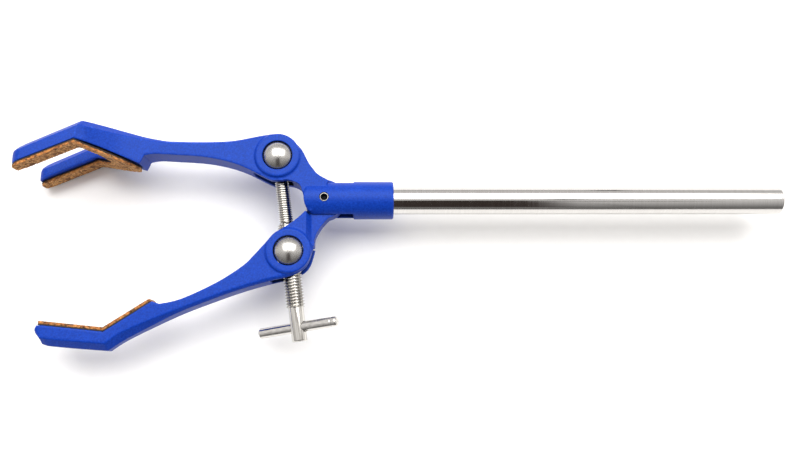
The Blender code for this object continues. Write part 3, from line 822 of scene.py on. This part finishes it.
def sheet_cork():
    """Fine agglomerated cork: tan granules, darker binder and bark specks."""
    n = Nodes("sheet_cork")
    warp = n.noise(700.0, 2.0).outputs["Color"]
    bent = n.add("VectorMath", operation="MULTIPLY_ADD")
    n.feed(bent.inputs[0], warp)
    bent.inputs[1].default_value = (0.0006,) * 3
    n.feed(bent.inputs[2], n.place)
    place = bent.outputs["Vector"]
    cells = n.add("TexVoronoi", {"Vector": place, "Scale": 1250.0})
    tint = n.add("SeparateColor", {"Color": cells.outputs["Color"]}).outputs[0]
    tone = n.ramp(
        tint,
        [
            (0.0, (0.09, 0.035, 0.012)),
            (0.25, (0.33, 0.140, 0.044)),
            (0.55, (0.58, 0.285, 0.095)),
            (1.0, (0.86, 0.500, 0.200)),
        ],
    )
    gaps = n.add("TexVoronoi", {"Vector": place, "Scale": 1250.0}, feature="DISTANCE_TO_EDGE")
    seam = n.map(gaps.outputs["Distance"], 0.0, 0.10, 0.65, 0.0)
    tone = n.mix(seam, tone, (0.075, 0.030, 0.012))
    bark = n.add("TexVoronoi", {"Vector": place, "Scale": 480.0})
    speck = n.add("SeparateColor", {"Color": bark.outputs["Color"]}).outputs[1]
    tone = n.mix(n.map(speck, 0.86, 0.90, 0.0, 0.8), tone, (0.040, 0.016, 0.008))
    fine = n.noise(3200.0, 3.0, 0.65).outputs["Fac"]
    tone = n.mix(n.map(fine, 0.35, 0.65, 0.0, 0.35), tone, (0.62, 0.27, 0.075))
    geometry = n.add("NewGeometry")
    facing = n.add("SeparateXYZ", {"Vector": geometry.outputs["Normal"]}).outputs["Z"]
    cut_edge = n.map(n.math("ABSOLUTE", facing), 0.55, 0.80, 0.0, 1.0)
    clump = n.noise(620.0, 2.0, 0.6).outputs["Fac"]
    cut_tone = n.ramp(
        clump, [(0.38, (0.030, 0.012, 0.006)), (0.50, (0.38, 0.120, 0.024)), (0.66, (0.62, 0.25, 0.060))]
    )
    tone = n.mix(n.math("MULTIPLY", cut_edge, 0.75), tone, cut_tone)
    height = n.math("SUBTRACT", fine, n.math("MULTIPLY", seam, 0.9))
    normal = n.bump(height, 0.00016, 0.8)
    return n.surface(Base_Color=tone, Roughness=n.map(fine, 0.3, 0.7, 0.78, 0.95), Normal=normal)


def dark_glue():
    n = Nodes("dark_glue")
    lumps = n.noise(900.0, 2.0).outputs["Fac"]
    tone = n.ramp(lumps, [(0.3, (0.012, 0.008, 0.010)), (0.7, (0.035, 0.022, 0.018))])
    return n.surface(
        Base_Color=tone,
        Roughness=n.map(lumps, 0.3, 0.7, 0.45, 0.7),
        Normal=n.bump(lumps, 0.0001, 0.6),
    )


def ground_rod():
    """Bright centreless-ground steel, with fine rings round the bar."""
    n = Nodes("ground_rod_steel")
    rings = n.noise(1.0, 3.0, 0.6, n.stretched((5200.0, 90.0, 90.0))).outputs["Fac"]
    long_rings = n.noise(1.0, 2.0, 0.5, n.stretched((260.0, 40.0, 40.0))).outputs["Fac"]
    tone = n.ramp(rings, [(0.25, (0.57, 0.553, 0.535)), (0.75, (0.67, 0.657, 0.642))])
    rough = n.math("ADD", n.map(rings, 0.3, 0.7, 0.055, 0.12), n.map(long_rings, 0.3, 0.7, 0, 0.03))
    normal = n.bump(rings, 0.0000016, 0.5)
    return n.surface(Base_Color=tone, Metallic=1.0, Roughness=rough, Normal=normal)


def satin_dome(name, centre):
    """Satin steel with faint streaks running out from the middle of the dome."""
    n = Nodes(name)
    middle = Vector((HINGE_X + centre.x, centre.y, 0.0)) * MM
    offset = n.add("VectorMath", operation="SUBTRACT")
    n.feed(offset.inputs[0], n.place)
    offset.inputs[1].default_value = middle
    flat = n.add("VectorMath", operation="MULTIPLY")
    n.feed(flat.inputs[0], offset.outputs["Vector"])
    flat.inputs[1].default_value = (1.0, 1.0, 0.0)
    spoke = n.add("VectorMath", operation="NORMALIZE")
    n.feed(spoke.inputs[0], flat.outputs["Vector"])
    streak = n.noise(4.0, 3.0, 0.6, spoke.outputs["Vector"]).outputs["Fac"]
    fine = n.noise(2400.0, 2.0).outputs["Fac"]
    tone = n.ramp(streak, [(0.3, (0.46, 0.445, 0.425)), (0.7, (0.52, 0.505, 0.485))])
    rough = n.math("ADD", n.map(streak, 0.3, 0.7, 0.20, 0.27), n.map(fine, 0.3, 0.7, 0.0, 0.05))
    normal = n.bump(streak, 0.00001, 0.25, n.bump(fine, 0.000008, 0.5))
    return n.surface(Base_Color=tone, Metallic=1.0, Roughness=rough, Normal=normal)


def screw_steel():
    """Plated screw steel, with drawn lines along the bar and painted shade in the thread roots."""
    n = Nodes("screw_steel")
    lie = n.stretched((30.0, 1500.0, 1500.0), SCREW_ANGLE)
    drawn = n.noise(1.0, 3.0, 0.6, lie).outputs["Fac"]
    patch = n.noise(420.0, 2.0).outputs["Fac"]
    shades = [(0.36, (0.26, 0.245, 0.225)), (0.5, (0.62, 0.60, 0.565)), (0.7, (0.74, 0.725, 0.69))]
    tone = n.ramp(drawn, shades)
    edge = n.add("NewGeometry").outputs["Pointiness"]
    # Painted shade: the thread roots, where pointiness is low, are darkened.
    tone = n.mix(n.map(edge, 0.40, 0.485, 0.9, 0.0), tone, (0.060, 0.052, 0.045))
    rough = n.math("ADD", n.map(drawn, 0.3, 0.7, 0.09, 0.16), n.map(patch, 0.3, 0.7, 0.0, 0.05))
    normal = n.bump(drawn, 0.00003, 0.4)
    return n.surface(Base_Color=tone, Metallic=1.0, Roughness=rough, Normal=normal)


def bar_steel():
    """Bright pin steel, drawn along the tommy bar."""
    n = Nodes("bar_steel")
    lie = n.stretched((1500.0, 30.0, 1500.0), SCREW_ANGLE)
    drawn = n.noise(1.0, 3.0, 0.6, lie).outputs["Fac"]
    shades = [(0.36, (0.54, 0.525, 0.50)), (0.5, (0.63, 0.61, 0.585)), (0.7, (0.72, 0.705, 0.68))]
    tone = n.ramp(drawn, shades)
    rough = n.map(drawn, 0.3, 0.7, 0.10, 0.20)
    return n.surface(
        Base_Color=tone, Metallic=1.0, Roughness=rough, Normal=n.bump(drawn, 0.000006, 0.5)
    )


def black_oxide():
    """Blacked screw steel, rubbed bright round its rim."""
    n = Nodes("black_oxide_steel")
    middle = n.add("VectorMath", operation="SUBTRACT")
    n.feed(middle.inputs[0], n.place)
    middle.inputs[1].default_value = (HINGE_X * MM, 0.0, 0.0)
    apart = n.add("SeparateXYZ", {"Vector": middle.outputs["Vector"]})
    across = n.math("POWER", apart.outputs["X"], 2.0)
    reach = n.math("SQRT", n.math("ADD", across, n.math("POWER", apart.outputs["Y"], 2.0)))
    patch = n.noise(1800.0, 3.0).outputs["Fac"]
    bright_edge = n.map(n.math("ADD", reach, n.math("MULTIPLY", patch, 0.0003)), 0.00165, 0.0019, 0, 1)
    sunk = n.map(apart.outputs["Z"], HINGE_SCREW_HALF * MM - 0.0004, HINGE_SCREW_HALF * MM, 0, 1)
    bright_edge = n.math("MULTIPLY", bright_edge, sunk)
    tone = n.mix(bright_edge, (0.004, 0.004, 0.005), (0.66, 0.63, 0.59))
    rough = n.map(patch, 0.3, 0.7, 0.28, 0.42)
    return n.surface(
        Base_Color=tone, Metallic=1.0, Roughness=rough, Normal=n.bump(patch, 0.00001, 0.5)
    )


# ---------------------------------------------------------------- studio


def build_floor():
    shape = bmesh.new()
    bmesh.ops.create_grid(shape, x_segments=1, y_segments=1, size=3.0)
    floor = working("floor", shape)
    floor.location = (0.0, 0.0, cad_bounds[0].z - 0.0003)
    n = Nodes("white_paper")
    fibre = n.noise(260.0, 4.0, 0.6).outputs["Fac"]
    tone = n.ramp(fibre, [(0.2, (0.93, 0.925, 0.915)), (0.8, (0.96, 0.955, 0.945))])
    rough = n.map(fibre, 0.3, 0.7, 0.75, 0.9)
    floor.data.materials.append(
        n.surface(Base_Color=tone, Roughness=rough, Normal=n.bump(fibre, 0.0001, 0.1))
    )


def build_world():
    """A bright world with one darker side and painted dark bands, which the rod reflects.

    It isn't a plain studio: the person, beam, hand, stand and leg are placed and toned so that the
    rod looks as it does in the photograph from the camera's angle. In other views they show.
    """
    world = bpy.data.worlds.new("studio")
    bpy.context.scene.world = world
    world.use_nodes = True
    n = Nodes.__new__(Nodes)
    n.tree = world.node_tree
    back = n.tree.nodes["Background"]
    way = n.tree.nodes.new("ShaderNodeTexCoord").outputs["Generated"]
    n.place = way
    axes = n.add("SeparateXYZ", {"Vector": way})
    x, y, z = (axes.outputs[axis] for axis in "XYZ")
    lean = n.math("MULTIPLY", n.math("ARCTAN2", y, z), math.degrees(1.0))
    ripple = n.map(n.noise(4.0, 2.0).outputs["Fac"], 0.0, 1.0, -1.0, 1.0)
    soft_x = n.math("ADD", n.math("ABSOLUTE", x), n.math("MULTIPLY", ripple, 0.03))
    soft_lean = n.math("ADD", lean, n.math("MULTIPLY", ripple, 4.0))

    def band(value, low, high, edge):
        rise = n.map(value, low - edge, low + edge, 0.0, 1.0)
        fall = n.map(value, high - edge, high + edge, 1.0, 0.0)
        return n.math("MULTIPLY", rise, fall)

    # the person's dark shape runs down towards -Y, a little wider at the bottom
    shoulder = n.map(lean, -40.0, -14.0, 0.19, 0.16)
    inside = n.map(n.math("SUBTRACT", soft_x, shoulder), -0.03, 0.05, 1.0, 0.0)
    figure = n.math("MULTIPLY", inside, band(soft_lean, -68.0, -11.0, 2.5))
    beam = n.math("MULTIPLY", band(lean, -19.5, -16.5, 0.8), band(soft_x, -0.1, 0.45, 0.05))
    hand = n.math("MULTIPLY", band(x, 0.180, 0.236, 0.02), band(soft_lean, -8.0, 26.0, 7.0))
    stand = n.math("MULTIPLY", band(x, 0.268, 0.305, 0.008), band(soft_lean, 78.0, 92.0, 4.0))
    slope = n.math("ADD", lean, n.math("MULTIPLY", n.math("ADD", x, -0.28), 455.0))
    leg = n.math("MULTIPLY", band(slope, -46.0, -40.0, 2.5), band(x, 0.27, 0.40, 0.02))
    side = n.map(lean, -70.0, 5.0, 0.22, 1.0)
    side = n.math("MULTIPLY", side, n.map(lean, 50.0, 75.0, 1.0, 0.70))
    tone = n.mix(side, (0.0, 0.0, 0.0), (1.0, 0.98, 0.965))
    tone = n.mix(n.math("MULTIPLY", hand, 0.75), tone, (0.10, 0.09, 0.09))
    tone = n.mix(n.math("MULTIPLY", leg, 0.55), tone, (0.06, 0.06, 0.06))
    tone = n.mix(n.math("MULTIPLY", beam, 0.85), tone, (0.03, 0.03, 0.03))
    tone = n.mix(n.math("MULTIPLY", stand, 0.95), tone, (0.01, 0.01, 0.01))
    tone = n.mix(figure, tone, (0.050, 0.038, 0.034))
    n.feed(back.inputs["Color"], tone)
    back.inputs["Strength"].default_value = 1.0


def build_light(name, place, aim, size, power, colour):
    lamp = bpy.data.lights.new(name, "AREA")
    lamp.shape = "RECTANGLE"
    lamp.size, lamp.size_y = size
    lamp.energy = power
    lamp.color = colour
    made = bpy.data.objects.new(name, lamp)
    made.location = place
    made.rotation_euler = (Vector(aim) - Vector(place)).to_track_quat("-Z", "Y").to_euler()
    bpy.context.scene.collection.objects.link(made)


def build_camera():
    """The place, turn and lens come from fitting the part's outlines to the photograph's."""
    lens = bpy.data.cameras.new("camera")
    lens.sensor_width = 36.0
    lens.lens = 36.16
    lens.clip_start = 0.01
    made = bpy.data.objects.new("camera", lens)
    made.location = (-0.13008, -0.07802, 0.34045)
    made.rotation_euler = [math.radians(angle) for angle in (11.1817, -2.0124, -0.4561)]
    bpy.context.scene.collection.objects.link(made)
    bpy.context.scene.camera = made


def main():
    bpy.context.scene.view_settings.view_transform = "Standard"
    build_camera()
    build_floor()
    build_world()
    build_light("key", (0.0, 0.75, 1.5), (0.0, 0.0, 0.0), (2.4, 1.3), 42.0, (1.0, 0.995, 0.985))
    paint = blue_powder_coat()
    build_fixed_jaw(paint)
    build_moving_jaw(paint)
    build_pads(sheet_cork(), dark_glue())
    hole_gap = BORE_GAP - 0.15
    upper = satin_dome("upper_dome_steel", UPPER_NUT)
    build_nut("upper_nut", UPPER_NUT, "upper_nut", FINE_THREAD_RADIUS + hole_gap, upper)
    lower = satin_dome("lower_dome_steel", LOWER_NUT)
    build_nut("lower_nut", LOWER_NUT, "lower_nut", COARSE_THREAD_RADIUS + hole_gap, lower)
    build_screw(screw_steel(), bar_steel())
    build_hinge_screw(black_oxide())
    build_rod(ground_rod())


main()
